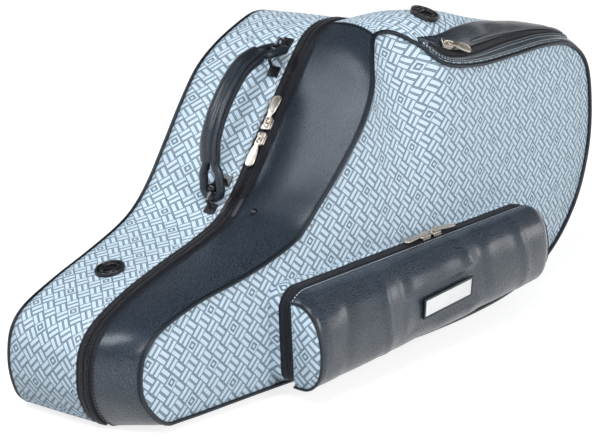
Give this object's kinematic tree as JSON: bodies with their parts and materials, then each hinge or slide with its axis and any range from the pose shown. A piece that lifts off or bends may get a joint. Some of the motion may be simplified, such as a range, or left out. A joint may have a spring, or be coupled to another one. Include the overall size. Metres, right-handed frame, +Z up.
{
  "type": "tenor saxophone case",
  "caption": "Shaped soft-shell case for a tenor saxophone: zipped base and lid, arched strap handle, folding strap rings, a long front pocket and a small bell pocket.",
  "frame": {"origin": "middle of the case's overall footprint, on the surface that it stands on", "axes": "+X along the case from its narrow neck end to its bell end, +Z up as it stands on its long hinged edge, -Y out of the pocketed lid, +Y out of the back panel"},
  "size_m": [0.85, 0.3038, 0.3558],
  "materials": {
    "black_leather": "pebbled, soft sheen",
    "pale_woven_cloth": "woven, matt",
    "zip_black": "matt",
    "warm_silver": "satin",
    "black_metal": "glossy lacquer",
    "black_plush": "plush",
    "grey_foam": "closed-cell foam",
    "white_plate": "satin"
  },
  "bodies": {
    "base": {"base_shell": "grey_foam", "base_lining": "black_plush", "base_gusset_cover": "pale_woven_cloth", "back_cover": "pale_woven_cloth", "back_piping": "black_leather", "zip_tape_base": "zip_black", "zip_teeth_base": "zip_black", "hinge_leaf_base": "black_leather", "handle_bracket_low": "black_metal", "handle_bracket_high": "black_metal", "handle_bead_low": "black_metal", "handle_bead_high": "black_metal", "neck_lug_base": "black_metal", "body_cradle": "black_plush", "bell_cradle": "black_plush", "accessory_wall": "black_plush"},
    "lid": {"lid_shell": "grey_foam", "lid_lining": "black_plush", "leather_band": "black_leather", "bell_gusset_cover": "pale_woven_cloth", "front_panel": "pale_woven_cloth", "front_piping": "black_leather", "zip_tape_lid": "zip_black", "zip_teeth_lid": "zip_black", "hinge_leaf_lid": "black_leather", "bell_lug_base": "black_metal", "band_rivet": "black_metal", "pocket_band": "pale_woven_cloth", "pocket_tape_back": "zip_black", "pocket_teeth_back": "zip_black", "upper_pocket_panel": "black_leather", "upper_zip_tape": "zip_black", "upper_zip_teeth": "zip_black", "lid_pad": "black_plush"},
    "handle": {"handle_grip": "black_leather", "handle_loop_low": "black_leather", "handle_loop_high": "black_leather"},
    "neck_ring": {"neck_lug_ring": "black_metal"},
    "bell_ring": {"bell_lug_ring": "black_metal"},
    "pocket_front": {"pocket_cover": "black_leather", "pocket_end_left": "pale_woven_cloth", "pocket_end_right": "pale_woven_cloth", "pocket_tape_front": "zip_black", "pocket_teeth_front": "zip_black", "plate_frame": "black_leather", "name_plate_blank": "white_plate"},
    "upper_main_slider": {"main_slider_upper": "warm_silver"},
    "upper_main_pull": {"main_slider_upper_pull": "warm_silver"},
    "lower_main_slider": {"main_slider_lower": "warm_silver"},
    "lower_main_pull": {"main_slider_lower_pull": "warm_silver"},
    "right_pocket_slider": {"pocket_slider_right": "warm_silver"},
    "right_pocket_pull": {"pocket_slider_right_pull": "warm_silver"},
    "left_pocket_slider": {"pocket_slider_left": "warm_silver"},
    "left_pocket_pull": {"pocket_slider_left_pull": "warm_silver"},
    "bell_pocket_slider": {"upper_slider": "warm_silver"},
    "bell_pocket_pull": {"upper_slider_pull": "warm_silver"}
  },
  "joints": [
    {"name": "lid_hinge", "type": "hinge", "parent": "base", "child": "lid", "pos_m": [0, 0.04044, 0], "axis": [1, 0, 0], "range_deg": [0, 110]},
    {"name": "handle_swing", "type": "hinge", "parent": "base", "child": "handle", "pos_m": [-0.17156, 0.06044, 0.19393], "axis": [-0.6802, 0, -0.733], "range_deg": [-75, 60]},
    {"name": "neck_ring_fold", "type": "hinge", "parent": "base", "child": "neck_ring", "pos_m": [-0.31765, 0.09278, 0.13314], "axis": [0, -0.997, 0.0779], "range_deg": [0, 95]},
    {"name": "bell_ring_fold", "type": "hinge", "parent": "lid", "child": "bell_ring", "pos_m": [0.07086, -0.04543, 0.3499], "axis": [0, -0.9474, -0.3201], "range_deg": [0, 95]},
    {"name": "pocket_cover_drop", "type": "hinge", "parent": "lid", "child": "pocket_front", "pos_m": [-0.23521, -0.07509, 0.0196], "axis": [0.9932, -0.1026, 0.0558], "range_deg": [0, 60]},
    {"name": "main_slider_upper_slide", "type": "slide", "parent": "base", "child": "upper_main_slider", "axis": [0.6747, 0, 0.7381], "range_m": [0, 0.067]},
    {"name": "main_slider_upper_pull_flip", "type": "hinge", "parent": "upper_main_slider", "child": "upper_main_pull", "pos_m": [-0.10019, 0.04044, 0.25266], "axis": [0, -1, 0], "range_deg": [0, 120]},
    {"name": "main_slider_lower_slide", "type": "slide", "parent": "base", "child": "lower_main_slider", "axis": [-0.6747, 0, -0.7381], "range_m": [0, 0.029]},
    {"name": "main_slider_lower_pull_flip", "type": "hinge", "parent": "lower_main_slider", "child": "lower_main_pull", "pos_m": [-0.11301, 0.04044, 0.23864], "axis": [0, 1, 0], "range_deg": [0, 120]},
    {"name": "pocket_slider_right_slide", "type": "slide", "parent": "lid", "child": "right_pocket_slider", "axis": [0.9946, -0.1028, 0.0153], "range_m": [0, 0.13]},
    {"name": "pocket_slider_right_pull_flip", "type": "hinge", "parent": "right_pocket_slider", "child": "right_pocket_pull", "pos_m": [0.01008, -0.10043, 0.13022], "axis": [-0.1028, -0.9947, 0], "range_deg": [0, 120]},
    {"name": "pocket_slider_left_slide", "type": "slide", "parent": "lid", "child": "left_pocket_slider", "axis": [-0.9946, 0.1028, -0.0153], "range_m": [0, 0.17]},
    {"name": "pocket_slider_left_pull_flip", "type": "hinge", "parent": "left_pocket_slider", "child": "left_pocket_pull", "pos_m": [-0.00881, -0.09848, 0.12993], "axis": [0.1028, 0.9947, 0], "range_deg": [0, 120]},
    {"name": "bell_pocket_slider_slide", "type": "slide", "parent": "lid", "child": "bell_pocket_slider", "axis": [0.8977, -0.3026, -0.3204], "range_m": [0, 0.02]},
    {"name": "bell_pocket_pull_flip", "type": "hinge", "parent": "bell_pocket_slider", "child": "bell_pocket_pull", "pos_m": [0.06116, -0.08663, 0.32448], "axis": [-0.4393, -0.5574, -0.7045], "range_deg": [0, 120]}
  ]
}
